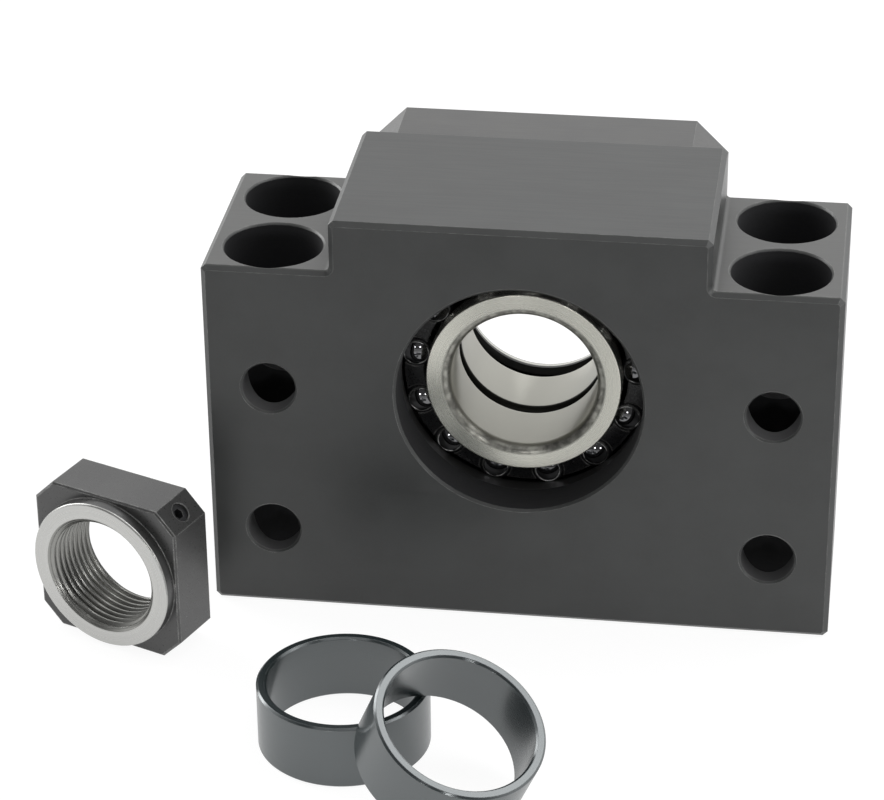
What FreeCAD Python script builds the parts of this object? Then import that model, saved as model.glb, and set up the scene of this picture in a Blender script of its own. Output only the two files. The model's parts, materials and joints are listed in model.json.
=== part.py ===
import FreeCAD, Part
import math
import os

# Ball screw end support: a square steel block that carries the fixed end of a ball screw.
# Two angular contact ball bearings sit face to face in the block behind a bolted lid, and
# the lock nut and two collars that belong on the screw's end lie in front, taken off.
# Millimetres. X runs across the block, Y along the shaft and Z up. The origin is the
# centre of the base face, and the open bearing faces -Y.

# Block
block_width = 128.0
block_length = 45.0
shoulder_height = 78.0
hump_width = 76.0
hump_rise = 11.0
hump_root_radius = 1.0
shaft_height = 51.0
edge_chamfer = 1.0

# Bolt holes in the block
bolt_edge_distance = 13.0
base_bolt_pitch_y = 23.0
base_bolt_diameter = 14.0
base_bolt_seat_diameter = 20.0
base_bolt_seat_depth = 13.0
face_bolt_diameter = 11.0
face_bolt_pitch_z = 33.0
hole_chamfer = 0.4

# Open recess in front of the bearings
recess_diameter = 50.0
recess_depth = 8.4
recess_chamfer = 0.5
seat_relief_depth = 0.3
seat_relief_width = 1.5

# Bearings
shaft_diameter = 30.0
bearing_outside = 62.0
bearing_width = 16.0
bearing_corner = 1.0
bore_corner = 1.9
ball_diameter = 9.525
ball_count = 13
ball_phase = 171.1
contact_angle = 30.0
race_conformity = 0.52
ball_running_gap = 0.04
inner_land_depth = 3.0
inner_thrust_land_depth = 2.5
outer_land_height = 2.4
outer_relief_height = 4.4
land_edge_radius = 0.3

# Ball cage
cage_land_gap = 0.4
cage_front_reach = 3.65
cage_back_reach = 5.6
cage_pocket_gap = 0.12
cage_edge_radius = 0.3

# Lid
lid_setback = 0.5
lid_thickness = 14.0
lid_corner_cut = 6.8
lid_bore = 45.0
lid_edge_chamfer = 0.8
spigot_bore = 54.0
spigot_gap = 0.02
seal_outside = 48.0
seal_width = 7.0
seal_standoff = 2.2
seal_wall = 2.2
seal_edge_radius = 0.4
seal_flange_radius = 0.8
seal_flange_bore = 36.0
seal_flange_thickness = 1.2
seal_lip_land = 1.8
seal_lip_setback = 0.9
seal_lip_gap = 0.03
seal_lip_taper_rise = 1.3
seal_lip_taper_length = 0.8
seal_lip_root_rise = 2.2
seal_lip_root_setback = 0.6

# Lid screws
lid_screw_diameter = 6.0
lid_screw_length = 16.0
lid_screw_wall = 6.3
lid_screw_gap = 0.15
lid_screw_head_diameter = 10.0
lid_screw_head_height = 6.0
lid_screw_head_gap = 0.5
lid_screw_key = 5.0
lid_screw_key_depth = 3.0
lid_tapped_spare = 3.0
drill_point_angle = 118.0

# Lock nut
nut_across_flats = 34.2
nut_corner_rise = 7.8
nut_body_length = 11.5
nut_boss_setback = 0.8
nut_boss_length = 2.7
nut_thread_diameter = 25.0
nut_thread_chamfer = 0.4
nut_edge_chamfer = 0.4
nut_set_screw_diameter = 4.0
nut_set_screw_length = 5.0
nut_set_screw_key = 2.0
nut_set_screw_key_depth = 2.0
nut_set_screw_sink = 0.7
nut_set_screw_cone = 0.6
nut_pad_gap = 0.05
nut_turn = -21.8
nut_x = -81.99
nut_y = -41.36

# Collars
collar_wall = 2.0
collar_length = 13.5
collar_chamfer = 0.4
flat_collar_x = -28.7
flat_collar_y = -70.0
lean_heading = -38.1
lean_tilt = 26.7
lean_gap = 0.02

# Worked out from the sizes above
hump_top = shoulder_height + hump_rise
bolt_pitch_x = block_width - 2 * bolt_edge_distance
front_face = -block_length / 2
rear_face = block_length / 2
bearing_start = front_face + recess_depth
bearing_joint = bearing_start + bearing_width
bearing_end = bearing_joint + bearing_width
ball_radius = ball_diameter / 2
ball_pitch_radius = (shaft_diameter + bearing_outside) / 4
inner_land = ball_pitch_radius - inner_land_depth
inner_thrust_land = ball_pitch_radius - inner_thrust_land_depth
outer_land = ball_pitch_radius + outer_land_height
outer_relief = ball_pitch_radius + outer_relief_height
race_radius = race_conformity * ball_diameter
race_shift = race_radius - ball_radius - ball_running_gap
lid_rear = rear_face + lid_thickness
lid_side = hump_width - 2 * lid_setback
collar_outside = shaft_diameter + 2 * collar_wall
seal_start = bearing_end + seal_standoff
seal_end = seal_start + seal_width
lid_screw_offset = (bearing_outside / 2 + lid_screw_wall + lid_screw_diameter / 2) / math.sqrt(2)
lid_screw_seat = lid_rear - lid_screw_head_height - lid_screw_head_gap
lid_screw_tip = lid_screw_seat - lid_screw_length
nut_across_corners = nut_across_flats + nut_corner_rise
nut_boss_diameter = nut_across_flats - 2 * nut_boss_setback
ahead = FreeCAD.Vector(0, 1, 0)
upward = FreeCAD.Vector(0, 0, 1)
shaft_line = FreeCAD.Vector(0, 0, shaft_height)


def point(x, y, z):
    return FreeCAD.Vector(x, y, z)


def rounded_wire(corners):
    """Closed wire through (point, radius) corners, each rounded by its own radius."""
    stations = []
    for index, (corner, radius) in enumerate(corners):
        to_previous = (corners[index - 1][0] - corner).normalize()
        to_next = (corners[(index + 1) % len(corners)][0] - corner).normalize()
        if radius == 0:
            stations.append((corner, None, corner))
            continue
        half_angle = to_previous.getAngle(to_next) / 2
        setback = radius / math.tan(half_angle)
        inward = (to_previous + to_next).normalize()
        middle = corner + inward * (radius / math.sin(half_angle) - radius)
        stations.append((corner + to_previous * setback, middle, corner + to_next * setback))
    edges = []
    for index, (start, middle, end) in enumerate(stations):
        if middle is not None:
            edges.append(Part.Arc(start, middle, end).toShape())
        edges.append(Part.LineSegment(end, stations[(index + 1) % len(stations)][0]).toShape())
    return Part.Wire(edges)


def turned(corners):
    """Ring turned about the Y axis from (radius, station, rounding) corners."""
    outline = rounded_wire([(point(radius, station, 0), rounding) for radius, station, rounding in corners])
    return Part.Face(outline).revolve(point(0, 0, 0), ahead, 360)


def rod(diameter, start, end, x=0.0, z=0.0):
    """Cylinder along Y between two stations."""
    return Part.makeCylinder(diameter / 2, end - start, point(x, start, z), ahead)


def countersink(diameter, chamfer, mouth, direction, x=0.0, z=0.0):
    """Cone that breaks the edge of a hole along Y, opening at the mouth."""
    reach = diameter / 2 + chamfer
    axis = ahead * -direction
    start = point(x, mouth, z)
    return Part.makeCone(reach, diameter / 2, chamfer, start, axis)


def hexagon(across_flats, start, depth, direction):
    """Hexagonal prism from a start point, as deep as stated along a direction."""
    radius = across_flats / math.sqrt(3)
    side = direction.cross(upward)
    rise = side.cross(direction).normalize()
    side = side.normalize()
    corners = []
    for step in range(6):
        turn = math.radians(60 * step)
        corners.append(start + side * (radius * math.cos(turn)) + rise * (radius * math.sin(turn)))
    return Part.Face(Part.makePolygon(corners + corners[:1])).extrude(direction * depth)


def four_corners(span_x, span_y):
    """The four corners of a rectangle round the origin."""
    return [(sx * span_x / 2, sy * span_y / 2) for sx in (-1, 1) for sy in (-1, 1)]


def without(shape, tools):
    """The shape with every tool cut away."""
    return shape.cut(tools)


def mirrored(shape):
    """The same shape in the far bearing, turned face to face with the near one."""
    return shape.mirror(point(0, bearing_joint, 0), ahead)


def export(name, shape):
    shape.exportStep(os.path.join("parts", name + ".step"))


# Housing

def block_outline():
    """Outline of the block seen along the shaft, with its outer corners bevelled."""
    half_block = block_width / 2
    half_hump = hump_width / 2
    bevel = edge_chamfer
    right = [
        (half_block - bevel, 0, 0),
        (half_block, bevel, 0),
        (half_block, shoulder_height - bevel, 0),
        (half_block - bevel, shoulder_height, 0),
        (half_hump, shoulder_height, hump_root_radius),
        (half_hump, hump_top - bevel, 0),
        (half_hump - bevel, hump_top, 0),
    ]
    left = [(-x, z, radius) for x, z, radius in reversed(right)]
    return rounded_wire([(point(x, front_face, z), radius) for x, z, radius in right + left])


def bevelled_block():
    solid = Part.Face(block_outline()).extrude(ahead * block_length)
    rims = [edge for edge in solid.Edges if edge.BoundBox.YLength < 0.001]
    return solid.makeChamfer(edge_chamfer, rims)


def base_bolt_holes():
    tools = []
    for x, y in four_corners(bolt_pitch_x, base_bolt_pitch_y):
        seat = shoulder_height - base_bolt_seat_depth
        tools.append(Part.makeCylinder(base_bolt_diameter / 2, shoulder_height, point(x, y, 0)))
        tools.append(Part.makeCylinder(base_bolt_seat_diameter / 2, base_bolt_seat_depth, point(x, y, seat)))
        tools.append(Part.makeCone(base_bolt_diameter / 2 + hole_chamfer, base_bolt_diameter / 2,
                                   hole_chamfer, point(x, y, 0)))
        tools.append(Part.makeCone(base_bolt_seat_diameter / 2, base_bolt_seat_diameter / 2 + hole_chamfer,
                                   hole_chamfer, point(x, y, shoulder_height - hole_chamfer)))
    return tools


def face_bolt_holes():
    tools = []
    for x in (-bolt_pitch_x / 2, bolt_pitch_x / 2):
        for z in (shaft_height, shaft_height - face_bolt_pitch_z):
            tools.append(rod(face_bolt_diameter, front_face, rear_face, x, z))
            tools.append(countersink(face_bolt_diameter, hole_chamfer, front_face, -1, x, z))
            tools.append(countersink(face_bolt_diameter, hole_chamfer, rear_face, 1, x, z))
    return tools


def lid_screw_places():
    span = 2 * lid_screw_offset
    return [(x, z + shaft_height) for x, z in four_corners(span, span)]


def tapped_holes():
    """Blind holes for the lid screws, each with a drill point at its end."""
    bottom = lid_screw_tip - lid_tapped_spare
    point_depth = lid_screw_diameter / 2 / math.tan(math.radians(drill_point_angle / 2))
    tools = []
    for x, z in lid_screw_places():
        tools.append(rod(lid_screw_diameter + lid_screw_gap, bottom, rear_face, x, z))
        tools.append(Part.makeCone((lid_screw_diameter + lid_screw_gap) / 2, 0, point_depth,
                                   point(x, bottom, z), -ahead))
        tools.append(countersink(lid_screw_diameter + lid_screw_gap, hole_chamfer, rear_face, 1, x, z))
    return tools


def housing():
    relief_inside = bearing_outside / 2 - seat_relief_depth
    relief_outside = bearing_outside / 2 + seat_relief_depth
    relief = turned([
        (relief_inside, bearing_start, 0),
        (relief_outside, bearing_start, 0),
        (relief_outside, bearing_start + seat_relief_width, 0),
        (relief_inside, bearing_start + seat_relief_width, 0),
    ])
    bores = [
        rod(recess_diameter, front_face, bearing_start),
        countersink(recess_diameter, recess_chamfer, front_face, -1),
        rod(bearing_outside, bearing_start, rear_face),
        countersink(bearing_outside, recess_chamfer, rear_face, 1),
        relief,
    ]
    raised = [bore.translated(shaft_line) for bore in bores]
    return without(bevelled_block(), raised + base_bolt_holes() + face_bolt_holes() + tapped_holes())


# Bearings, built in the near seat and mirrored into the far one

def ball_station():
    return bearing_start + bearing_width / 2


def race(direction):
    """Ring-shaped groove tool, shifted so that the ball bears at the contact angle."""
    tilt = math.radians(contact_angle)
    radius = ball_pitch_radius - direction * race_shift * math.cos(tilt)
    station = ball_station() + direction * race_shift * math.sin(tilt)
    return Part.makeTorus(radius, race_radius, point(0, station, 0), ahead)


def outer_ring():
    """Thick lip towards the open side, low lip where the two bearings meet."""
    middle = ball_station()
    blank = turned([
        (outer_land, bearing_start, land_edge_radius),
        (bearing_outside / 2, bearing_start, bearing_corner),
        (bearing_outside / 2, bearing_joint, bearing_corner),
        (outer_relief, bearing_joint, land_edge_radius),
        (outer_relief, middle, 0),
        (outer_land, middle, 0),
    ])
    return without(blank, [race(1)])


def inner_ring():
    """Low lip towards the open side, thrust lip where the two bearings meet."""
    middle = ball_station()
    blank = turned([
        (shaft_diameter / 2, bearing_start, bore_corner),
        (inner_land, bearing_start, land_edge_radius),
        (inner_land, middle, 0),
        (inner_thrust_land, middle, 0),
        (inner_thrust_land, bearing_joint, land_edge_radius),
        (shaft_diameter / 2, bearing_joint, bore_corner),
    ])
    return without(blank, [race(-1)])


def ball_places():
    places = []
    for index in range(ball_count):
        turn = math.radians(ball_phase + 360.0 * index / ball_count)
        across = ball_pitch_radius * math.cos(turn)
        rise = ball_pitch_radius * math.sin(turn)
        places.append(point(across, ball_station(), rise))
    return places


def cage():
    """Moulded ring whose round pockets snap over the balls and leave them proud in front."""
    inside = inner_thrust_land + cage_land_gap
    outside = outer_land - cage_land_gap
    front = ball_station() - cage_front_reach
    back = ball_station() + cage_back_reach
    blank = turned([
        (inside, front, cage_edge_radius),
        (outside, front, cage_edge_radius),
        (outside, back, cage_edge_radius),
        (inside, back, cage_edge_radius),
    ])
    pockets = []
    for place in ball_places():
        outward = point(place.x, 0, place.z).normalize()
        pockets.append(Part.makeSphere(ball_radius + cage_pocket_gap, place, outward))
    return without(blank, pockets)


def export_bearings():
    for side in ("near", "far"):
        pieces = {"outer_ring": outer_ring(), "inner_ring": inner_ring(), "cage": cage()}
        for index, place in enumerate(ball_places()):
            pieces["ball_" + side + "_%02d" % (index + 1)] = Part.makeSphere(ball_radius, place)
        for name, shape in pieces.items():
            if side == "far":
                shape = mirrored(shape)
            if not name.startswith("ball"):
                name = name + "_" + side
            export(name, shape.translated(shaft_line))


# Lid and what it holds

def lid_plate():
    """Square plate with its corners cut off and its outer rim bevelled."""
    half = lid_side / 2
    cut = lid_corner_cut
    quarter = [(half - cut, -half), (half, -half + cut), (half, half - cut), (half - cut, half)]
    outline = quarter + [(-x, -z) for x, z in quarter]
    corners = [point(x, rear_face, z) for x, z in outline]
    plate = Part.Face(Part.makePolygon(corners + corners[:1])).extrude(ahead * lid_thickness)
    rim = [edge for edge in plate.Edges if edge.BoundBox.YMin > lid_rear - 0.001]
    return plate.makeChamfer(lid_edge_chamfer, rim)


def retaining_lid():
    spigot_outside = bearing_outside - 2 * spigot_gap
    spigot = rod(spigot_outside, bearing_end, rear_face)
    tools = [
        rod(spigot_bore, bearing_end, seal_start),
        rod(seal_outside, seal_start, seal_end),
        rod(lid_bore, seal_end, lid_rear),
        countersink(lid_bore, recess_chamfer, lid_rear, 1),
    ]
    for x, z in four_corners(2 * lid_screw_offset, 2 * lid_screw_offset):
        tools.append(rod(lid_screw_diameter + 2 * lid_screw_gap, rear_face, lid_rear, x, z))
        tools.append(rod(lid_screw_head_diameter + 2 * lid_screw_head_gap, lid_screw_seat, lid_rear, x, z))
    return without(lid_plate().fuse(spigot), tools).translated(shaft_line)


def lid_screw():
    """Socket head screw pointing at the block, its head's underside at the lid seat."""
    head = turned([
        (0, lid_screw_seat, 0),
        (lid_screw_head_diameter / 2, lid_screw_seat, 0),
        (lid_screw_head_diameter / 2, lid_screw_seat + lid_screw_head_height, hole_chamfer),
        (0, lid_screw_seat + lid_screw_head_height, 0),
    ])
    shank = turned([
        (0, lid_screw_tip, 0),
        (lid_screw_diameter / 2 - hole_chamfer, lid_screw_tip, 0),
        (lid_screw_diameter / 2, lid_screw_tip + hole_chamfer, 0),
        (lid_screw_diameter / 2, lid_screw_seat, 0),
        (0, lid_screw_seat, 0),
    ])
    top = lid_screw_seat + lid_screw_head_height
    socket = hexagon(lid_screw_key, point(0, top - lid_screw_key_depth, 0), lid_screw_key_depth, ahead)
    return without(head.fuse(shank), [socket])


def lid_screws():
    return Part.makeCompound([lid_screw().translated(point(x, 0, z)) for x, z in lid_screw_places()])


def lid_seal():
    """Pressed-in rubber seal: a wall in the lid, a flange behind and a lip on the collar."""
    lip = collar_outside / 2 + seal_lip_gap
    lip_end = seal_end - seal_lip_setback
    lip_start = lip_end - seal_lip_land
    wall = seal_outside / 2 - seal_wall
    flange = seal_flange_bore / 2
    flange_front = seal_end - seal_flange_thickness
    return turned([
        (wall, seal_start, seal_edge_radius),
        (seal_outside / 2, seal_start, seal_edge_radius),
        (seal_outside / 2, seal_end, 0),
        (flange, seal_end, 0),
        (lip, lip_end, seal_edge_radius),
        (lip, lip_start, 0),
        (lip + seal_lip_taper_rise, lip_start - seal_lip_taper_length, 0),
        (lip + seal_lip_root_rise, flange_front - seal_lip_root_setback, seal_edge_radius),
        (wall, flange_front, seal_flange_radius),
    ]).translated(shaft_line)


# Lock nut, built round the Y axis with its boss towards -Y and then stood on a flat

def stand_nut(shape):
    """Turn the nut about the vertical and stand it on the floor where it lies."""
    placement = FreeCAD.Placement(point(nut_x, nut_y, nut_across_flats / 2),
                                  FreeCAD.Rotation(upward, nut_turn))
    return shape.transformed(placement.toMatrix())


def screw_direction():
    """The set screw points out through the upper right corner of the nut."""
    return point(1, 0, 1).normalize()


def nut_axis_point(distance):
    """A point on the set screw's axis, as far as stated from the nut's own axis."""
    return point(0, nut_body_length / 2, 0) + screw_direction() * distance


def lock_nut():
    half = nut_across_flats / 2
    corner_cut = (math.sqrt(2) * nut_across_flats - nut_across_corners) / math.sqrt(2)
    quarter = [(half - corner_cut, -half), (half, -half + corner_cut),
               (half, half - corner_cut), (half - corner_cut, half)]
    corners = [point(x, 0, z) for x, z in quarter + [(-x, -z) for x, z in quarter]]
    body = Part.Face(Part.makePolygon(corners + corners[:1])).extrude(ahead * nut_body_length)
    rims = [edge for edge in body.Edges if edge.BoundBox.YLength < 0.001]
    body = body.makeChamfer(nut_edge_chamfer, rims)
    boss = turned([
        (0, -nut_boss_length, 0),
        (nut_boss_diameter / 2, -nut_boss_length, nut_edge_chamfer),
        (nut_boss_diameter / 2, 0, 0),
        (0, 0, 0),
    ])
    tools = [
        rod(nut_thread_diameter, -nut_boss_length, nut_body_length),
        countersink(nut_thread_diameter, nut_thread_chamfer, -nut_boss_length, -1),
        countersink(nut_thread_diameter, nut_thread_chamfer, nut_body_length, 1),
        Part.makeCylinder(nut_set_screw_diameter / 2, nut_across_corners / 2, nut_axis_point(0), screw_direction()),
    ]
    return stand_nut(without(body.fuse(boss), tools))


def set_screw_outer_end():
    return nut_across_corners / 2 - nut_set_screw_sink


def nut_set_screw():
    """Headless screw with a hexagonal socket and a bevelled inner end."""
    outer = set_screw_outer_end()
    inner = outer - nut_set_screw_length
    radius = nut_set_screw_diameter / 2
    cone = Part.makeCone(radius - nut_set_screw_cone, radius, nut_set_screw_cone,
                         nut_axis_point(inner), screw_direction())
    shank = Part.makeCylinder(radius, nut_set_screw_length - nut_set_screw_cone,
                              nut_axis_point(inner + nut_set_screw_cone), screw_direction())
    socket = hexagon(nut_set_screw_key, nut_axis_point(outer - nut_set_screw_key_depth),
                     nut_set_screw_key_depth, screw_direction())
    return stand_nut(without(cone.fuse(shank), [socket]))


def nut_set_pad():
    """Soft metal pad between the set screw and the thread, hollowed to the thread."""
    end = set_screw_outer_end() - nut_set_screw_length
    pad = Part.makeCylinder(nut_set_screw_diameter / 2 - nut_pad_gap, end, nut_axis_point(0), screw_direction())
    return stand_nut(without(pad, [rod(nut_thread_diameter, -nut_boss_length, nut_body_length)]))


# Collars

def collar():
    """Plain collar standing on its end round the vertical axis."""
    outside = collar_outside / 2
    inside = shaft_diameter / 2
    corners = [
        (inside, collar_chamfer),
        (inside + collar_chamfer, 0),
        (outside - collar_chamfer, 0),
        (outside, collar_chamfer),
        (outside, collar_length - collar_chamfer),
        (outside - collar_chamfer, collar_length),
        (inside + collar_chamfer, collar_length),
        (inside, collar_length - collar_chamfer),
    ]
    outline = [point(radius, 0, z) for radius, z in corners]
    return Part.Face(Part.makePolygon(outline + outline[:1])).revolve(point(0, 0, 0), upward, 360)


def flat_collar():
    return collar().translated(point(flat_collar_x, flat_collar_y, 0))


def leaning_collar():
    """The same collar with one edge on the floor and its underside on the flat one's rim.

    Its underside climbs from the floor at the tilt, and is as high as the flat collar
    at the reach. The two rims cross there, at the chord that the hole leaves free.
    """
    tilt = math.radians(lean_tilt)
    heading = math.radians(lean_heading)
    outside = collar_outside / 2 - collar_chamfer
    hole = shaft_diameter / 2 + collar_chamfer
    reach = collar_length / math.tan(tilt)
    past_centre = collar_length / math.sin(tilt) - outside
    half_chord = math.sqrt(hole ** 2 - past_centre ** 2)
    rim_distance = math.sqrt(outside ** 2 - half_chord ** 2)
    to_floor_edge = rim_distance + reach + lean_gap / math.tan(tilt)
    away = point(math.cos(heading), math.sin(heading), 0)
    floor_edge = point(flat_collar_x, flat_collar_y, 0) + away * to_floor_edge
    centre = floor_edge - away * (outside * math.cos(tilt)) + upward * (outside * math.sin(tilt))
    turn = FreeCAD.Rotation(upward.cross(away), lean_tilt)
    return collar().transformed(FreeCAD.Placement(centre, turn).toMatrix())


os.makedirs("parts", exist_ok=True)
export("housing", housing())
export_bearings()
export("retaining_lid", retaining_lid())
export("lid_screws", lid_screws())
export("lid_seal", lid_seal())
export("lock_nut", lock_nut())
export("nut_set_screw", nut_set_screw())
export("nut_set_pad", nut_set_pad())
export("collar_flat", flat_collar())
export("collar_leaning", leaning_collar())
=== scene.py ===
# %% [markdown]
# This file dresses one machine part for its portrait: a square steel block that carries
# the fixed end of a ball screw, with its lock nut and two collars lying in front of it.
# The shapes come from a solid model, and this script gives them light, a camera and
# finishes. Each step has a note like this one, and then a short cell of code that prints
# what it made, so that it can be run and read one step at a time.

# %% Load the solid model
import json
import math
import bmesh
import bpy
import numpy as np
from mathutils import Matrix, Vector


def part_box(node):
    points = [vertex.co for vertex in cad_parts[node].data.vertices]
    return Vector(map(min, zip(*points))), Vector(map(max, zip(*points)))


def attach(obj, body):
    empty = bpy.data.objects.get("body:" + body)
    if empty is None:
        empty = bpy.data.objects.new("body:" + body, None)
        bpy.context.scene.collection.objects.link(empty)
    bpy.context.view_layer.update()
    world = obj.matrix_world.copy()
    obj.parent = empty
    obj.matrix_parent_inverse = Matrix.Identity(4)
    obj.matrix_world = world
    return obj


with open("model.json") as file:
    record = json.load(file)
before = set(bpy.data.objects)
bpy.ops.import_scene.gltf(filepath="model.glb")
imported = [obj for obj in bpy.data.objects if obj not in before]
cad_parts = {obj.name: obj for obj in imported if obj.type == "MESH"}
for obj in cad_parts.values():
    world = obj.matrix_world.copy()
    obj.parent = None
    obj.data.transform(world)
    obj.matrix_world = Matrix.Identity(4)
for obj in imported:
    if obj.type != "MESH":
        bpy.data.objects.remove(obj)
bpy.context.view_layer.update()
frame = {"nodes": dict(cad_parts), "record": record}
nodes = frame["nodes"]

# %% [markdown]
# Every solid arrives with its place in its vertices and its object at the origin, in
# metres. The record that comes with the model names the holes and their axes, so the
# script reads centres and directions from there and writes none of them twice.

# %% Find the axes that the turned pieces share
mounts = {mount["name"]: mount for mount in frame["record"]["mounts"]}
millimetre = 0.001
shaft_centre = Vector(mounts["shaft_bore"]["pos_m"])
shaft_axis = Vector((0, 1, 0))
nut_centre = Vector(mounts["nut_thread"]["pos_m"])
nut_axis = -Vector(mounts["nut_thread"]["axis"])
flat_collar_centre = Vector(mounts["collar_flat_bore"]["pos_m"])
flat_collar_axis = Vector((0, 0, 1))
print("shaft at", [round(value, 4) for value in shaft_centre])
print("nut at", [round(value, 4) for value in nut_centre])

# %% [markdown]
# The leaning collar rests one edge on the floor and one on the flat collar, so its axis
# is neither upright nor level. A short thick ring has a middle and a flattest direction,
# and both fall out of its own vertices: the middle of their box is its centre, and the
# direction in which the points spread least is its axis. Working it out from the mesh
# means that it stays right when the model changes.

# %% Measure the leaning collar's axis
def vertex_places(name):
    """Places of the vertices of a solid, one row each."""
    vertices = nodes[name].data.vertices
    places = np.empty(len(vertices) * 3)
    vertices.foreach_get("co", places)
    return places.reshape(-1, 3)


def ring_centre_and_axis(name):
    """Middle of the points' box, and the eigenvector of their spread with the least value."""
    places = vertex_places(name)
    centre = (places.min(axis=0) + places.max(axis=0)) / 2
    axis = np.linalg.eigh(np.cov((places - centre).T))[1][:, 0]
    return Vector(centre), Vector(axis if axis[2] > 0 else -axis)


leaning_collar_centre, leaning_collar_axis = ring_centre_and_axis("collar_leaning")
lean = math.degrees(leaning_collar_axis.angle((0, 0, 1)))
print("leaning collar tilts", round(lean, 1), "degrees")

# %% [markdown]
# The camera stands in front of the open bearing, a little to the right and about 29
# degrees above the floor, with a long lens, as in a catalogue picture. Blender's camera
# looks along its own -Z with +Y up, so its matrix is built from three directions: to the
# right of the picture, up in the picture, and back towards the photographer.

# %% Place the camera
camera_place = Vector((0.0681, -0.6014, 0.3730))
camera_heading = math.radians(8.216)
camera_drop = math.radians(28.861)
camera_roll = math.radians(-0.637)
camera_lens = 135.14


def camera_matrix(place, heading, drop, roll):
    """Looks along the heading and down by the drop, then turns the picture by the roll."""
    ahead = Vector((-math.sin(heading), math.cos(heading), 0.0))
    forward = math.cos(drop) * ahead - math.sin(drop) * Vector((0, 0, 1))
    level = forward.cross((0, 0, 1)).normalized()
    rise = level.cross(forward)
    right = math.cos(roll) * level + math.sin(roll) * rise
    up = -math.sin(roll) * level + math.cos(roll) * rise
    turned = Matrix((right, up, -forward)).transposed()
    return Matrix.Translation(place) @ turned.to_4x4()


camera_data = bpy.data.cameras.new("photo_camera")
camera_data.sensor_width = 36.0
camera_data.sensor_fit = "HORIZONTAL"
camera_data.lens = camera_lens
camera_data.clip_start = 0.01
camera = bpy.data.objects.new("photo_camera", camera_data)
camera.matrix_world = camera_matrix(camera_place, camera_heading, camera_drop, camera_roll)
bpy.context.scene.collection.objects.link(camera)
bpy.context.scene.camera = camera
print("camera", round((camera_place - shaft_centre).length, 3), "m from the bearing")

# %% [markdown]
# Materials are networks of small nodes. These helpers keep the cells that follow short.
# The first adds a node and fills its inputs, and takes a plain value or the output of
# another node for each. The others are the few nodes that every pattern is made of:
# arithmetic, smooth steps, blends, noise, and taking a vector apart.

# %% Helpers for building node trees
def add_node(tree, kind, inputs=None, **settings):
    """A node with its settings, its inputs filled with values or joined to outputs."""
    node = tree.nodes.new(kind)
    for key, value in settings.items():
        setattr(node, key, value)
    for key, value in (inputs or {}).items():
        if isinstance(value, bpy.types.NodeSocket):
            tree.links.new(value, node.inputs[key])
        else:
            node.inputs[key].default_value = value
    return node


def arithmetic(tree, operation, first, second=None):
    """Output of a Math node that joins one or two values."""
    inputs = {0: first} if second is None else {0: first, 1: second}
    return add_node(tree, "ShaderNodeMath", inputs, operation=operation).outputs[0]


def distance_between(tree, first, second):
    """Absolute difference of two values."""
    return arithmetic(tree, "ABSOLUTE", arithmetic(tree, "SUBTRACT", first, second))


def step_between(tree, value, low, high, to_low=0.0, to_high=1.0):
    """Smooth step of a value from low to high."""
    inputs = {"Value": value, "From Min": low, "From Max": high, "To Min": to_low, "To Max": to_high}
    return add_node(tree, "ShaderNodeMapRange", inputs, interpolation_type="SMOOTHSTEP").outputs[0]


def blend_colours(tree, amount, first, second):
    """Colour that goes from the first to the second as the amount goes from 0 to 1."""
    inputs = {0: amount, 6: first, 7: second}
    return add_node(tree, "ShaderNodeMix", inputs, data_type="RGBA").outputs[2]


def blend_values(tree, amount, first, second):
    """Value that goes from the first to the second as the amount goes from 0 to 1."""
    return add_node(tree, "ShaderNodeMix", {0: amount, 2: first, 3: second}).outputs[0]


def noise(tree, vector, scale, detail=2.0, roughness=0.5):
    """Noise whose broadest waves are about one metre divided by the scale across."""
    inputs = {"Vector": vector, "Scale": scale, "Detail": detail, "Roughness": roughness}
    return add_node(tree, "ShaderNodeTexNoise", inputs).outputs[0]


def split(tree, vector):
    """X, Y and Z of a vector."""
    return add_node(tree, "ShaderNodeSeparateXYZ", {0: vector}).outputs


def length_of(tree, across, up):
    """Length of the flat vector that has these two parts."""
    flat = add_node(tree, "ShaderNodeCombineXYZ", {0: across, 1: up}).outputs[0]
    return add_node(tree, "ShaderNodeVectorMath", {0: flat}, operation="LENGTH").outputs["Value"]


print("helpers ready")

# %% [markdown]
# An effect that several finishes use is made once, as a node group with named inputs and
# outputs. The first one is the grain of an oxidised or moulded surface: two sizes of
# noise, the broad cloudiness of the bath and the pits that only show as a broken
# highlight. Broad noise tints the colour, and fine noise feeds the bump.

# %% Shared effect: cloudy oxide grain
def new_group(name, inputs, outputs):
    """An empty shader group with its sockets, and its input and output nodes."""
    group = bpy.data.node_groups.new(name, "ShaderNodeTree")
    for label, kind, value in inputs:
        socket = group.interface.new_socket(label, in_out="INPUT", socket_type=kind)
        if value is not None:
            socket.default_value = value
    for label, kind in outputs:
        group.interface.new_socket(label, in_out="OUTPUT", socket_type=kind)
    return group, group.nodes.new("NodeGroupInput").outputs, group.nodes.new("NodeGroupOutput").inputs


def make_oxide_grain():
    """Cloud is noise 12 mm across, Grain is noise under 1 mm, and both lie between 0 and 1."""
    group, given, result = new_group(
        "oxide_grain",
        [("Vector", "NodeSocketVector", None), ("Cloud Scale", "NodeSocketFloat", 80.0),
         ("Grain Scale", "NodeSocketFloat", 2200.0)],
        [("Cloud", "NodeSocketFloat"), ("Grain", "NodeSocketFloat")])
    cloud = noise(group, given["Vector"], given["Cloud Scale"], 5.0, 0.55)
    group.links.new(step_between(group, cloud, 0.3, 0.7), result["Cloud"])
    group.links.new(noise(group, given["Vector"], given["Grain Scale"], 2.0, 0.6), result["Grain"])
    return group


oxide_grain = make_oxide_grain()
print("made group", oxide_grain.name)

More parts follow.
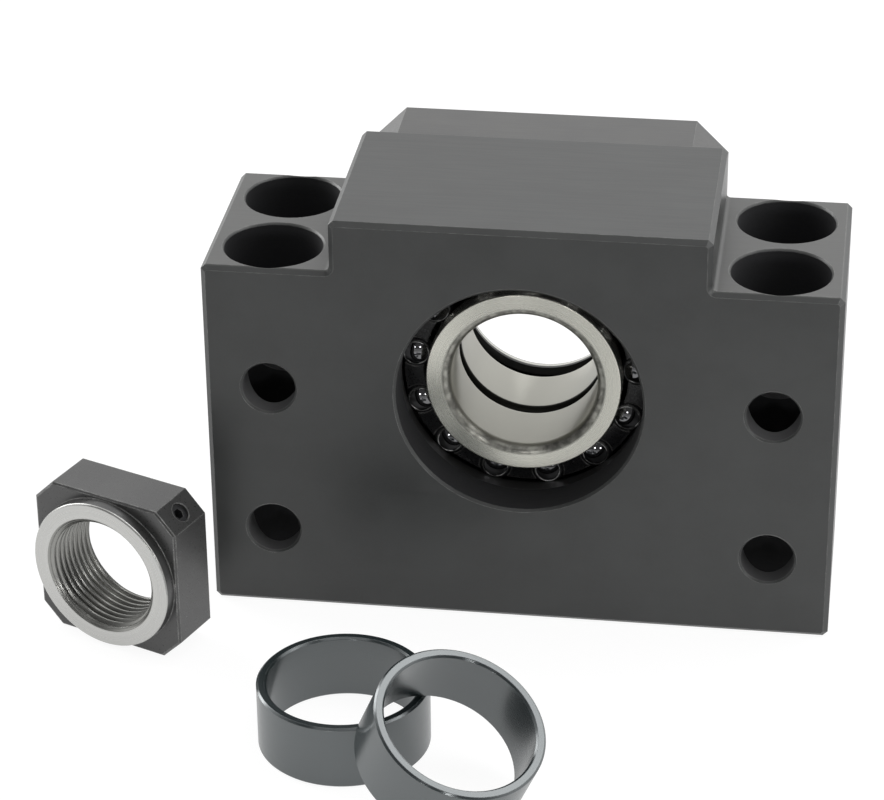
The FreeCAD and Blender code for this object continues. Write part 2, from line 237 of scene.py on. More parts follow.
# %% [markdown]
# A lathe leaves rings: circles round the axis on an end face, and circles along it on a
# cylinder. Both are noise that depends on two numbers only, the distance from the axis
# and the distance along it, so one group serves the faces and the bores of every turned
# piece. It expects coordinates whose Y runs along the piece's own axis.

# %% Shared effect: lathe rings
def make_lathe_rings():
    """Noise of (radius, station) with no dependence on the angle, fine and broad."""
    group, given, result = new_group(
        "lathe_rings",
        [("Vector", "NodeSocketVector", None), ("Ring Scale", "NodeSocketFloat", 3000.0)],
        [("Rings", "NodeSocketFloat"), ("Bands", "NodeSocketFloat"), ("Radius", "NodeSocketFloat"),
         ("Station", "NodeSocketFloat")])
    parts = split(group, given["Vector"])
    radius = length_of(group, parts[0], parts[2])
    place = add_node(group, "ShaderNodeCombineXYZ", {0: radius, 1: parts[1]}).outputs[0]
    broad_scale = arithmetic(group, "MULTIPLY", given["Ring Scale"], 0.12)
    group.links.new(noise(group, place, given["Ring Scale"], 2.0, 0.7), result["Rings"])
    group.links.new(noise(group, place, broad_scale, 1.0), result["Bands"])
    group.links.new(radius, result["Radius"])
    group.links.new(parts[1], result["Station"])
    return group


lathe_rings = make_lathe_rings()
print("made group", lathe_rings.name)

# %% [markdown]
# On a real edge the oxide is rubbed thin and the metal shows through as a light line.
# Blender's Bevel node rounds the surface's normal near an edge without changing the
# mesh, so the angle between the rounded normal and the true one is nought on a face and
# large on an edge. That angle, broken up by noise, is a mask for the worn line, and the
# rounded normal gives a knife-sharp solid the tiny glint that a real corner has.

# %% Shared effect: worn edges
def make_worn_edges():
    """Wear is how far the bevelled normal leans from the true one, broken up by noise."""
    group, given, result = new_group(
        "worn_edges",
        [("Vector", "NodeSocketVector", None), ("Width", "NodeSocketFloat", 0.0002),
         ("Amount", "NodeSocketFloat", 0.6)],
        [("Wear", "NodeSocketFloat"), ("Normal", "NodeSocketVector")])
    rounded = add_node(group, "ShaderNodeBevel", {"Radius": given["Width"]}, samples=4).outputs[0]
    true = add_node(group, "ShaderNodeNewGeometry").outputs["Normal"]
    alike = add_node(group, "ShaderNodeVectorMath", {0: rounded, 1: true}, operation="DOT_PRODUCT")
    lean = arithmetic(group, "SUBTRACT", 1.0, alike.outputs["Value"])
    edge = step_between(group, lean, 0.004, 0.07)
    broken = step_between(group, noise(group, given["Vector"], 600.0, 4.0), 0.35, 0.65, 0.35, 1.0)
    worn = arithmetic(group, "MULTIPLY", edge, broken)
    group.links.new(arithmetic(group, "MULTIPLY", worn, given["Amount"]), result["Wear"])
    group.links.new(rounded, result["Normal"])
    return group


worn_edges = make_worn_edges()
print("made group", worn_edges.name)

# %% [markdown]
# The walls of the holes get their own tone. In the deep holes and in the bearing's recess
# it is painted shade, darker than the face around them; in the shallow holes in the front
# face it is painted light, paler than the face. The four holes of a pattern mirror each
# other, so their distance can be found for all four at once: take the absolute value of
# each coordinate, subtract half the spacing, and measure the length of what is left.

# %% Shared effect: walls of drilled holes
def make_drilled_walls():
    """Wall is 1 where (|X| - half X, |Y| - half Y) is shorter than the radius, else 0."""
    group, given, result = new_group(
        "drilled_walls",
        [("Vector", "NodeSocketVector", None), ("Half X", "NodeSocketFloat", 0.0),
         ("Half Y", "NodeSocketFloat", 0.0), ("Radius", "NodeSocketFloat", 0.01)],
        [("Wall", "NodeSocketFloat")])
    parts = split(group, given["Vector"])
    across = arithmetic(group, "SUBTRACT", arithmetic(group, "ABSOLUTE", parts[0]), given["Half X"])
    up = arithmetic(group, "SUBTRACT", arithmetic(group, "ABSOLUTE", parts[1]), given["Half Y"])
    reach = length_of(group, across, up)
    group.links.new(arithmetic(group, "LESS_THAN", reach, given["Radius"]), result["Wall"])
    return group


drilled_walls = make_drilled_walls()
print("made group", drilled_walls.name)

# %% [markdown]
# A group is placed in a material as one node. Object coordinates are used everywhere,
# because they stay with the metal when the piece moves. For a turned piece, a Mapping
# node first moves the axis to the origin and turns it onto Y.

# %% Helpers for placing effects in a material
def new_material(name):
    """A material with its tree, its Principled shader and plain Object coordinates."""
    material = bpy.data.materials.new(name)
    material.use_nodes = True
    tree = material.node_tree
    shader = tree.nodes["Principled BSDF"]
    place = add_node(tree, "ShaderNodeTexCoord").outputs["Object"]
    return material, tree, shader, place


def place_group(tree, group, inputs):
    """A group node with its inputs filled, as its outputs."""
    return add_node(tree, "ShaderNodeGroup", inputs, node_tree=group).outputs


def along_axis(tree, place, centre, axis):
    """Coordinates with the centre at the origin and the axis turned onto +Y."""
    turn = Vector(axis).rotation_difference(Vector((0, 1, 0)))
    shift = -(turn @ Vector(centre))
    inputs = {"Vector": place, "Location": shift, "Rotation": turn.to_euler("XYZ")}
    return add_node(tree, "ShaderNodeMapping", inputs, vector_type="POINT").outputs[0]


def raise_height(tree, height, depth, normal=None):
    """Normal of a surface whose height varies by the depth, in metres."""
    inputs = {"Height": height, "Distance": depth, "Strength": 1.0}
    if normal is not None:
        inputs["Normal"] = normal
    return add_node(tree, "ShaderNodeBump", inputs).outputs[0]


print("placing helpers ready")

# %% [markdown]
# The block and the lid are ground steel, blackened in a hot oxide bath. The film is dark,
# slightly cloudy and not metallic, but it is thin and shines like a dielectric with a
# high index, so the top faces pick up the pale background at a low angle while the front
# stays dark. One function makes both and the screws, with a lighter tone for the lid.
# The faint lay of the grinding wheel is noise drawn out along X, which only the highlight
# shows. On the block, the milled shoulders are painted a shade paler as painted light, the
# walls of the holes from above and of the bearing's recess are painted dark as painted
# shade and made dull, and the walls of the holes in the front face are painted paler as
# painted light.

# %% Finish: black oxide on ground steel
counterbore_radius = 0.01004
recess_radius = 0.02504
shoulder_height = 0.078
hump_half_width = 0.0382
edge_width = 0.00018
# Painted tones of the block: shade on the walls of the deep holes and the recess, light on the walls of the
# face holes and on the shoulders.
deep_wall_painted_shade = (0.017, 0.017, 0.019, 1)
shallow_wall_painted_light = (0.09, 0.09, 0.092, 1)
shoulder_painted_light = (0.072, 0.073, 0.071, 1)


def four_holes(tree, vector, pattern, radius):
    """1 on the walls of the four holes of a pattern, whose spacing the record gives."""
    spacing = pattern["dims"]
    return place_group(tree, drilled_walls, {
        "Vector": vector, "Radius": radius,
        "Half X": spacing["spacing_x_mm"] / 2 * millimetre,
        "Half Y": spacing["spacing_y_mm"] / 2 * millimetre})["Wall"]


def hole_masks(tree, place):
    """Mask of the holes from above and of the recess, and mask of the holes in front.

    Turning Z onto Y swaps the sides, so that X and Y of the result are X and Z of the
    block, which is the plane that the holes along the shaft are measured in.
    """
    face_bolts = mounts["face_bolts"]
    face_hole_radius = (face_bolts["dims"]["hole_r_mm"] + 0.04) * millimetre
    vertical = four_holes(tree, place, mounts["base_bolts"], counterbore_radius)
    level = along_axis(tree, place, face_bolts["pos_m"], (0, 0, 1))
    shaft = along_axis(tree, place, shaft_centre, (0, 0, 1))
    recess = place_group(tree, drilled_walls, {"Vector": shaft, "Radius": recess_radius})["Wall"]
    deep = arithmetic(tree, "MAXIMUM", vertical, recess)
    return deep, four_holes(tree, level, face_bolts, face_hole_radius)


def shoulder_mask(tree, place):
    """1 on the level ledges beside the hump."""
    across, _, above_base = split(tree, place)
    from_shoulder = distance_between(tree, above_base, shoulder_height)
    on_shoulder = step_between(tree, from_shoulder, 0.0001, 0.0003, 1.0, 0.0)
    beside_hump = arithmetic(tree, "GREATER_THAN", arithmetic(tree, "ABSOLUTE", across), hump_half_width)
    return arithmetic(tree, "MULTIPLY", on_shoulder, beside_hump)


def ground_black_steel(name, dark, light, worn, roughness, drilled=False):
    """Cloudy dark film, grinding lines along X and rubbed edges; drilled adds the block's painted tones:
    light on the shoulders and face holes, shade in the deep holes and the recess.
    """
    material, tree, shader, place = new_material(name)
    grain = place_group(tree, oxide_grain, {"Vector": place})
    edges = place_group(tree, worn_edges, {"Vector": place, "Width": edge_width, "Amount": 0.7})
    drawn_out = add_node(tree, "ShaderNodeMapping", {"Vector": place, "Scale": (0.03, 1.0, 1.0)})
    lay = noise(tree, drawn_out.outputs[0], 2600.0)
    film = blend_colours(tree, grain["Cloud"], dark, light)
    speckle_and_painted_light_shade = blend_colours(tree, step_between(tree, grain["Grain"], 0.35, 0.75, 0.0, 0.35), film, light)
    gloss = arithmetic(tree, "ADD", step_between(tree, lay, 0.3, 0.7, roughness - 0.03, roughness + 0.03),
                       arithmetic(tree, "MULTIPLY", grain["Cloud"], 0.04))
    if drilled:
        deep, shallow = hole_masks(tree, place)
        # Painted light on the shoulders and in the face holes, painted shade in the deep holes and the
        # recess.
        speckle_and_painted_light_shade = blend_colours(tree, shoulder_mask(tree, place), speckle_and_painted_light_shade, shoulder_painted_light)
        speckle_and_painted_light_shade = blend_colours(tree, deep, speckle_and_painted_light_shade, deep_wall_painted_shade)
        speckle_and_painted_light_shade = blend_colours(tree, shallow, speckle_and_painted_light_shade, shallow_wall_painted_light)
        wall = arithmetic(tree, "MAXIMUM", deep, shallow)
        gloss = arithmetic(tree, "ADD", gloss, arithmetic(tree, "MULTIPLY", wall, 0.5))
    tree.links.new(blend_colours(tree, edges["Wear"], speckle_and_painted_light_shade, worn), shader.inputs["Base Color"])
    tree.links.new(edges["Wear"], shader.inputs["Metallic"])
    tree.links.new(gloss, shader.inputs["Roughness"])
    height = arithmetic(tree, "ADD", grain["Grain"], arithmetic(tree, "MULTIPLY", lay, 0.6))
    tree.links.new(raise_height(tree, height, 0.000004, edges["Normal"]), shader.inputs["Normal"])
    shader.inputs["IOR"].default_value = 1.56
    return material


block_finish = ground_black_steel("block_black_oxide", (0.029, 0.0305, 0.030, 1),
                                  (0.039, 0.041, 0.0405, 1), (0.34, 0.34, 0.33, 1), 0.36, drilled=True)
lid_finish = ground_black_steel("lid_black_oxide", (0.048, 0.048, 0.048, 1), (0.064, 0.064, 0.062, 1),
                                (0.36, 0.36, 0.35, 1), 0.34)
screw_finish = ground_black_steel("screw_black_oxide", (0.022, 0.022, 0.024, 1), (0.034, 0.034, 0.036, 1),
                                  (0.32, 0.32, 0.31, 1), 0.30)
print("made", block_finish.name, lid_finish.name, screw_finish.name)

# %% [markdown]
# The bearing rings are hardened steel, ground bright. Grinding leaves rings too fine to
# see one by one, but together they smear each reflection across themselves. The lathe
# rings feed the bump and the roughness, and their broad bands vary the tone by a few
# parts in a hundred. The outer rings are painted far darker, as painted shade of the
# recess they sit in.

# %% Finish: ground bearing steel
shaft_radius = mounts["shaft_bore"]["dims"]["r_mm"] * millimetre
near_ring_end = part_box("inner_ring_near")[1][1]
ring_seam = near_ring_end - shaft_centre.y
ring_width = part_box("inner_ring_far")[1][1] - near_ring_end


def round_the_axis(tree, place, centre, axis):
    """Direction of the grinding rings: the axis crossed with the way out from it."""
    outward = add_node(tree, "ShaderNodeVectorMath", {0: place, 1: Vector(centre)}, operation="SUBTRACT")
    inputs = {0: Vector(axis), 1: outward.outputs[0]}
    return add_node(tree, "ShaderNodeVectorMath", inputs, operation="CROSS_PRODUCT").outputs[0]


def turned_bright_steel(name, centre, axis, tone, roughness, depth, bore_radius=0.0, corner=0.0, seam=0.0):
    """Bare metal with rings round its axis, and with other tones in its bore.

    The bore is a shade darker than the end face. The rounded corner between them was
    hand finished, so its tone is scratchy and its lines are deep. The seam is the station
    along the axis where two rings meet, and it is painted near black. The last millimetre
    of the far ring is painted near black too, as painted shade deep in the bore.
    """
    material, tree, shader, place = new_material(name)
    rings = place_group(tree, lathe_rings, {"Vector": along_axis(tree, place, centre, axis),
                                            "Ring Scale": 12000.0})
    shades = [tuple(part * share for part in tone) + (1,) for share in (1.0, 0.98, 0.55, 0.27, 0.64, 0.035)]
    bright, dull, scratch_light, scratch_dark, darker_bore, seam_and_painted_shade_black = shades
    surface = blend_colours(tree, rings["Bands"], dull, bright)
    scratches = step_between(tree, noise(tree, place, 700.0, 4.0), 0.35, 0.65)
    scratched = blend_colours(tree, scratches, scratch_dark, scratch_light)
    corner_end = bore_radius + corner
    on_corner = step_between(tree, rings["Radius"], corner_end - 0.0003, corner_end, 1.0, 0.0)
    surface = blend_colours(tree, on_corner, surface, scratched)
    in_bore = step_between(tree, rings["Radius"], bore_radius + 0.0001, bore_radius + 0.0005, 1.0, 0.0)
    surface = blend_colours(tree, in_bore, surface, darker_bore)
    # The seam is painted near black, and so is the last millimetre of the far ring, as painted shade deep in
    # the bore.
    from_seam = distance_between(tree, rings["Station"], seam + 0.0007)
    seam_and_painted_shade_mask = step_between(tree, from_seam, 0.0009, 0.0011, 1.0, 0.0)
    far_end = seam + ring_width
    behind = step_between(tree, rings["Station"], far_end - 0.0012, far_end - 0.0009)
    seam_and_painted_shade_mask = arithmetic(tree, "MAXIMUM", seam_and_painted_shade_mask, behind)
    tree.links.new(blend_colours(tree, seam_and_painted_shade_mask, surface, seam_and_painted_shade_black), shader.inputs["Base Color"])
    gloss = step_between(tree, rings["Rings"], 0.3, 0.7, roughness - 0.01, roughness + 0.01)
    gloss = arithmetic(tree, "ADD", gloss, arithmetic(tree, "MULTIPLY", on_corner, 0.06))
    tree.links.new(gloss, shader.inputs["Roughness"])
    deeper = step_between(tree, on_corner, 0.0, 1.0, 0.12, 5.0)
    height = arithmetic(tree, "MULTIPLY", rings["Rings"], deeper)
    tree.links.new(raise_height(tree, height, depth), shader.inputs["Normal"])
    shader.inputs["Metallic"].default_value = 1.0
    shader.inputs["Anisotropic"].default_value = 0.75
    shader.inputs["Anisotropic Rotation"].default_value = 0.25
    tree.links.new(round_the_axis(tree, place, centre, axis), shader.inputs["Tangent"])
    return material


inner_ring_finish = turned_bright_steel("inner_ring_steel", shaft_centre, shaft_axis, (0.715, 0.706, 0.636),
                                        0.27, 0.00000012, shaft_radius, corner=0.0018, seam=ring_seam)
# The outer rings are the same bearing steel, painted far darker as painted shade of the dark recess around
# them.
outer_ring_shaded_finish = turned_bright_steel("outer_ring_steel_painted_shade", shaft_centre, shaft_axis, (0.20, 0.20, 0.20),
                                        0.34, 0.0000003, seam=ring_seam)
print("made", inner_ring_finish.name, outer_ring_shaded_finish.name)

# %% [markdown]
# The balls are lapped to a mirror, so nothing but a film of oil varies over them: a slow
# noise changes the gloss a little from place to place, and the colour hardly at all. Their
# steel is painted very dark, as painted shade of the dark recess they sit in.

# %% Finish: lapped balls under oil, with painted shade
def lapped_balls():
    """Metal painted dark as painted shade, whose gloss and tone follow the film of oil."""
    material, tree, shader, place = new_material("lapped_ball_steel_painted_shade")
    oil = noise(tree, place, 420.0)
    # The tone is painted very dark for steel, as painted shade of the dark recess round the balls.
    tone = blend_colours(tree, oil, (0.15, 0.15, 0.155, 1), (0.20, 0.20, 0.205, 1))
    tree.links.new(tone, shader.inputs["Base Color"])
    tree.links.new(step_between(tree, oil, 0.35, 0.7, 0.035, 0.10), shader.inputs["Roughness"])
    shader.inputs["Metallic"].default_value = 1.0
    return material


ball_finish = lapped_balls()
print("made", ball_finish.name)

# %% [markdown]
# The cages are glass-filled nylon and the seal is nitrile rubber. Both are black, and
# what tells them apart is the surface: the moulded cage has a fine even grain, a low
# sheen and rubbed edges, painted pale, which are partly wear and partly a painted
# highlight, and the rubber is duller, with lathe-like lines from its mould and a light
# line on its lip, which is a painted highlight.

# %% Finish: moulded cage and rubber seal
def moulded_nylon():
    """Black plastic with a fine moulded grain, and edges rubbed smooth and painted pale, partly as a painted
    highlight.
    """
    material, tree, shader, place = new_material("cage_black_nylon")
    grain = place_group(tree, oxide_grain, {"Vector": place, "Grain Scale": 2600.0})
    edges = place_group(tree, worn_edges, {"Vector": place, "Width": rubbed_width, "Amount": 1.0})
    body = blend_colours(tree, grain["Cloud"], (0.004, 0.004, 0.005, 1), (0.008, 0.008, 0.009, 1))
    # The pale rubbed edges are partly wear and partly a painted highlight for the glints on the pocket rims.
    tone = blend_colours(tree, edges["Wear"], body, (0.16, 0.16, 0.155, 1))
    tree.links.new(tone, shader.inputs["Base Color"])
    gloss = step_between(tree, grain["Grain"], 0.3, 0.7, 0.24, 0.38)
    tree.links.new(blend_values(tree, edges["Wear"], gloss, 0.14), shader.inputs["Roughness"])
    tree.links.new(raise_height(tree, grain["Grain"], 0.000003, edges["Normal"]), shader.inputs["Normal"])
    shader.inputs["IOR"].default_value = 1.42
    return material


def rubber_seal_with_painted_highlight(lip_radius, highlight_station):
    """Black rubber, with a painted highlight: a light line along the middle of the lip.

    The lip is where the radius is within 0.25 mm of the least radius of the seal, and
    the line covers the part of its land that lies within 0.4 mm of the highlight station.
    """
    material, tree, shader, place = new_material("seal_black_rubber")
    rings = place_group(tree, lathe_rings, {"Vector": along_axis(tree, place, shaft_centre, shaft_axis)})
    grain = place_group(tree, oxide_grain, {"Vector": place, "Grain Scale": 3400.0})
    on_lip = step_between(tree, rings["Radius"], lip_radius + 0.0002, lip_radius + 0.0003, 1.0, 0.0)
    from_line = distance_between(tree, rings["Station"], highlight_station)
    on_line = step_between(tree, from_line, 0.0003, 0.0005, 1.0, 0.0)
    # The light line on the lip is a painted highlight.
    lip_highlight = arithmetic(tree, "MULTIPLY", on_lip, on_line)
    rubber = blend_colours(tree, grain["Cloud"], (0.007, 0.007, 0.007, 1), (0.013, 0.013, 0.012, 1))
    tree.links.new(blend_colours(tree, lip_highlight, rubber, (0.62, 0.62, 0.58, 1)), shader.inputs["Base Color"])
    tree.links.new(arithmetic(tree, "MULTIPLY", lip_highlight, 0.8), shader.inputs["Metallic"])
    gloss = step_between(tree, grain["Grain"], 0.3, 0.7, 0.30, 0.42)
    tree.links.new(blend_values(tree, lip_highlight, gloss, 0.22), shader.inputs["Roughness"])
    height = arithmetic(tree, "ADD", grain["Grain"], rings["Rings"])
    tree.links.new(raise_height(tree, height, 0.000002), shader.inputs["Normal"])
    return material


rubbed_width = 0.0004
cage_finish = moulded_nylon()
seal_places = vertex_places("lid_seal") - np.array(shaft_centre)
seal_radii = np.hypot(seal_places[:, 0], seal_places[:, 2])
lip_radius = float(seal_radii.min())
lip_end = float(seal_places[seal_radii < lip_radius + 0.00005, 1].max())
seal_finish = rubber_seal_with_painted_highlight(lip_radius, highlight_station=lip_end - 0.0006)
print("seal's lip has radius", round(lip_radius, 5), "and ends at", round(lip_end, 5))
print("made", cage_finish.name, seal_finish.name)

# %% [markdown]
# The lock nut is blackened all over and then faced on the lathe, so its boss has a bright
# end face and its thread is bright too. The same material can be both, with a mask from
# the piece's own coordinates: bright where the station lies on the boss's end face or
# where the radius lies inside the bore, and black everywhere else. The mask feeds Base
# Color, Metallic and Roughness together.

# %% Finish: black nut with a bright faced boss
nut_stations = (vertex_places("lock_nut") - np.array(nut_centre)) @ np.array(nut_axis)
nut_front = float(nut_stations.min())
nut_back = float(nut_stations.max())
thread_radius = mounts["nut_thread"]["dims"]["r_mm"] * millimetre
print("nut runs from", round(nut_front, 4), "to", round(nut_back, 4), "m along its axis")


def faced_black_nut():
    """Black film with rubbed edges, and bare steel on the boss's end face and in the bore."""
    material, tree, shader, place = new_material("nut_black_and_bright")
    turned = along_axis(tree, place, nut_centre, nut_axis)
    rings = place_group(tree, lathe_rings, {"Vector": turned, "Ring Scale": 4200.0})
    grain = place_group(tree, oxide_grain, {"Vector": place})
    edges = place_group(tree, worn_edges, {"Vector": place, "Width": rubbed_width, "Amount": 0.75})
    on_face = step_between(tree, rings["Station"], nut_front + 0.00034, nut_front + 0.00042, 1.0, 0.0)
    in_bore = step_between(tree, rings["Radius"], thread_radius + 0.00042, thread_radius + 0.0005,
                           1.0, 0.0)
    bright = arithmetic(tree, "MAXIMUM", on_face, in_bore)
    film = blend_colours(tree, grain["Cloud"], (0.029, 0.029, 0.029, 1), (0.043, 0.043, 0.042, 1))
    black = blend_colours(tree, edges["Wear"], film, (0.46, 0.46, 0.45, 1))
    faced = blend_colours(tree, rings["Bands"], (0.47, 0.47, 0.455, 1), (0.55, 0.55, 0.535, 1))
    steel = blend_colours(tree, in_bore, faced, (0.30, 0.30, 0.285, 1))
    tree.links.new(blend_colours(tree, bright, black, steel), shader.inputs["Base Color"])
    bare = arithmetic(tree, "MULTIPLY", edges["Wear"], 0.5)
    tree.links.new(arithmetic(tree, "MAXIMUM", bright, bare), shader.inputs["Metallic"])
    film_gloss = step_between(tree, grain["Grain"], 0.3, 0.7, 0.27, 0.35)
    steel_gloss = step_between(tree, rings["Rings"], 0.3, 0.7, 0.24, 0.36)
    tree.links.new(blend_values(tree, bright, film_gloss, steel_gloss), shader.inputs["Roughness"])
    height = blend_values(tree, bright, grain["Grain"], rings["Rings"])
    tree.links.new(raise_height(tree, height, 0.000004, edges["Normal"]), shader.inputs["Normal"])
    shader.inputs["IOR"].default_value = 1.7
    return material


nut_finish = faced_black_nut()
print("made", nut_finish.name)

# %% [markdown]
# The two collars are turned, polished and blackened. Their film is thin and glossy, so
# it behaves like a dark mirror with a very high index: nearly black where it faces
# something dark, silver-grey where it catches a lamp or turns away from the eye.

# %% Finish: polished black collars
def polished_black_collar(name, centre, axis):
    """Thin dark film of high index over metal that was polished round the axis."""
    material, tree, shader, place = new_material(name)
    turned = along_axis(tree, place, centre, axis)
    rings = place_group(tree, lathe_rings, {"Vector": turned, "Ring Scale": 2600.0})
    edges = place_group(tree, worn_edges, {"Vector": place, "Width": edge_width, "Amount": 0.3})
    film = blend_colours(tree, rings["Bands"], (0.008, 0.013, 0.014, 1), (0.014, 0.021, 0.023, 1))
    tone = blend_colours(tree, edges["Wear"], film, (0.42, 0.44, 0.45, 1))
    tree.links.new(tone, shader.inputs["Base Color"])
    tree.links.new(edges["Wear"], shader.inputs["Metallic"])
    tree.links.new(step_between(tree, rings["Rings"], 0.3, 0.7, 0.20, 0.26), shader.inputs["Roughness"])
    tree.links.new(raise_height(tree, rings["Rings"], 0.0000006, edges["Normal"]), shader.inputs["Normal"])
    shader.inputs["IOR"].default_value = 2.15
    shader.inputs["Specular Tint"].default_value = (0.94, 0.985, 1.0, 1)
    shader.inputs["Anisotropic"].default_value = 0.6
    shader.inputs["Anisotropic Rotation"].default_value = 0.25
    tree.links.new(round_the_axis(tree, place, centre, axis), shader.inputs["Tangent"])
    return material


flat_collar_finish = polished_black_collar("flat_collar_black", flat_collar_centre, flat_collar_axis)
leaning_collar_finish = polished_black_collar("leaning_collar_black", leaning_collar_centre,
                                              leaning_collar_axis)
print("made", flat_collar_finish.name, leaning_collar_finish.name)

# %% [markdown]
# Under the nut's set screw sits a small brass pad, which keeps the screw from biting the
# thread. It is drawn brass with a dull oxide, seen only at the bottom of the hole.

# %% Finish: drawn brass pad
pad_finish = turned_bright_steel("pad_drawn_brass", nut_centre, nut_axis, (0.72, 0.53, 0.24), 0.34, 0.000002)
print("made", pad_finish.name)

# %% [markdown]
# A finish goes onto a solid through the object's material slots, and the mesh stays as
# it is. The table names each solid once; the balls are matched by the start of the name.

# %% Put the finishes on the solids
finishes = {
    "housing": block_finish,
    "retaining_lid": lid_finish,
    "lid_screws": screw_finish,
    "lid_seal": seal_finish,
    "outer_ring_near": outer_ring_shaded_finish,
    "outer_ring_far": outer_ring_shaded_finish,
    "inner_ring_near": inner_ring_finish,
    "inner_ring_far": inner_ring_finish,
    "cage_near": cage_finish,
    "cage_far": cage_finish,
    "lock_nut": nut_finish,
    "nut_set_screw": screw_finish,
    "nut_set_pad": pad_finish,
    "collar_flat": flat_collar_finish,
    "collar_leaning": leaning_collar_finish,
}
for name, solid in nodes.items():
    finish = ball_finish if name.startswith("ball_") else finishes[name]
    for slot in solid.material_slots:
        slot.material = finish
print("finished", len(nodes), "solids with", len(set(finishes.values())) + 1, "finishes")

# %% [markdown]
# The solid nut has a plain bore at the thread's outer diameter. Its real ridges are one
# helix: the profile of the thread, a trapezium with 60 degree flanks, carried round the
# axis while it climbs one pitch a turn. On a grid of angle and profile, each row follows
# the helix, so the crests stay crisp. At both ends a 45 degree cone cuts the ridges
# away, as the countersink does, and a thin outer wall inside the nut closes the shape.

# %% New piece: the ridges of the nut's thread
def surface_from_rings(name, points):
    """Closed mesh from points[column, row, 3], joined round the rows and welded at the seam."""
    columns, rows = points.shape[:2]
    column, row = np.meshgrid(np.arange(columns - 1), np.arange(rows), indexing="ij")
    here = column * rows + row
    next_row = column * rows + (row + 1) % rows
    quads = np.stack([here, next_row, next_row + rows, here + rows], axis=-1).reshape(-1, 4)
    mesh = bpy.data.meshes.new(name)
    mesh.from_pydata(points.reshape(-1, 3), [], quads)
    mesh.update()
    return mesh


def weld_and_face_outwards(mesh, reach):
    """Merges points closer than the reach, drops collapsed faces and turns normals out."""
    work = bmesh.new()
    work.from_mesh(mesh)
    bmesh.ops.remove_doubles(work, verts=work.verts, dist=reach)
    bmesh.ops.dissolve_degenerate(work, edges=work.edges, dist=reach)
    bmesh.ops.recalc_face_normals(work, faces=work.faces)
    work.to_mesh(mesh)
    work.free()


def thread_points(pitch, major, minor, wall, start, end, columns=180, per_pitch=16):
    """Radius and station of the helix on a grid of angle and profile phase.

    The phase t runs once per pitch. The radius is the minor radius on the crest, an
    eighth of a pitch each side of its middle, and climbs to the major radius over the
    next five sixteenths. The station is pitch times (t + angle / one turn), held
    between start and end, and a cone from each end keeps the radius above it.
    """
    angle = np.linspace(0.0, 2 * np.pi, columns + 1)[:, None]
    turns = int(np.ceil((end - start) / pitch)) + 1
    phase = np.arange(-per_pitch, turns * per_pitch + 1)[None, :] / per_pitch
    station = np.clip(start + pitch * (phase + angle / (2 * np.pi)), start, end)
    from_crest = np.abs((phase % 1.0) - 0.5) * pitch
    climb = np.clip((from_crest - pitch / 8) / (5 * pitch / 16), 0.0, 1.0)
    cone = wall - 0.0001 - np.minimum(station - start, end - station)
    radius = np.maximum(minor + (major - minor) * climb, cone)
    outer_station = np.broadcast_to([end, start], (columns + 1, 2))
    station = np.concatenate([station, outer_station], axis=1)
    radius = np.concatenate([radius, np.full((columns + 1, 2), wall)], axis=1)
    return angle, radius, station


def build_nut_thread():
    """The thread's ridges as a piece that rides the block and is made of the nut's steel."""
    angle, radius, station = thread_points(
        pitch=thread_pitch, major=thread_radius - 0.00002, minor=thread_radius - thread_depth,
        wall=thread_radius + 0.0001, start=nut_front + countersink, end=nut_back - countersink)
    along = np.array(nut_axis)
    up = np.array((0.0, 0.0, 1.0))
    across = np.cross(along, up)
    points = (np.array(nut_centre)
              + radius[..., None] * (np.cos(angle)[..., None] * up + np.sin(angle)[..., None] * across)
              + station[..., None] * along)
    mesh = surface_from_rings("nut_thread", points)
    weld_and_face_outwards(mesh, 0.000002)
    mesh.shade_smooth()
    mesh.set_sharp_from_angle(angle=math.radians(24))
    thread = bpy.data.objects.new("nut_thread", mesh)
    bpy.context.scene.collection.objects.link(thread)
    mesh.materials.append(nut_finish)
    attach(thread, "block")
    return thread


thread_pitch = 0.0015
thread_depth = 0.000812
countersink = 0.0004
nut_thread = build_nut_thread()
print("thread has", len(nut_thread.data.polygons), "faces")

# %% [markdown]
# Seen from in front, each ball looks out through a round window in the cage: the pocket
# ends in a thin lip that snaps over the ball, and on the lip's rim a bright arc is painted
# as a painted highlight on a small bead. The lip is only 0.05 mm thick, so it is made here.
# Its cross section is a curved strip that follows the ball, and a small round bead runs
# along its rim. Turning the section about an axis through each ball gives all thirteen at
# once: the balls, the angles and the points of the section are three axes of one array.
# The axis leans a little towards the shaft, which keeps the window between the lands of
# the two rings.

# %% New pieces: the lips of the ball pockets
def ball_centres(start):
    """Centres of the balls whose names begin so, one row each, and their radius."""
    rows = []
    for name in sorted(name for name in nodes if name.startswith(start)):
        places = vertex_places(name)
        low, high = places.min(axis=0), places.max(axis=0)
        rows.append([(high + low) / 2, (high - low) / 2])
    rows = np.array(rows)
    return rows[:, 0], float(rows[:, 1].mean())


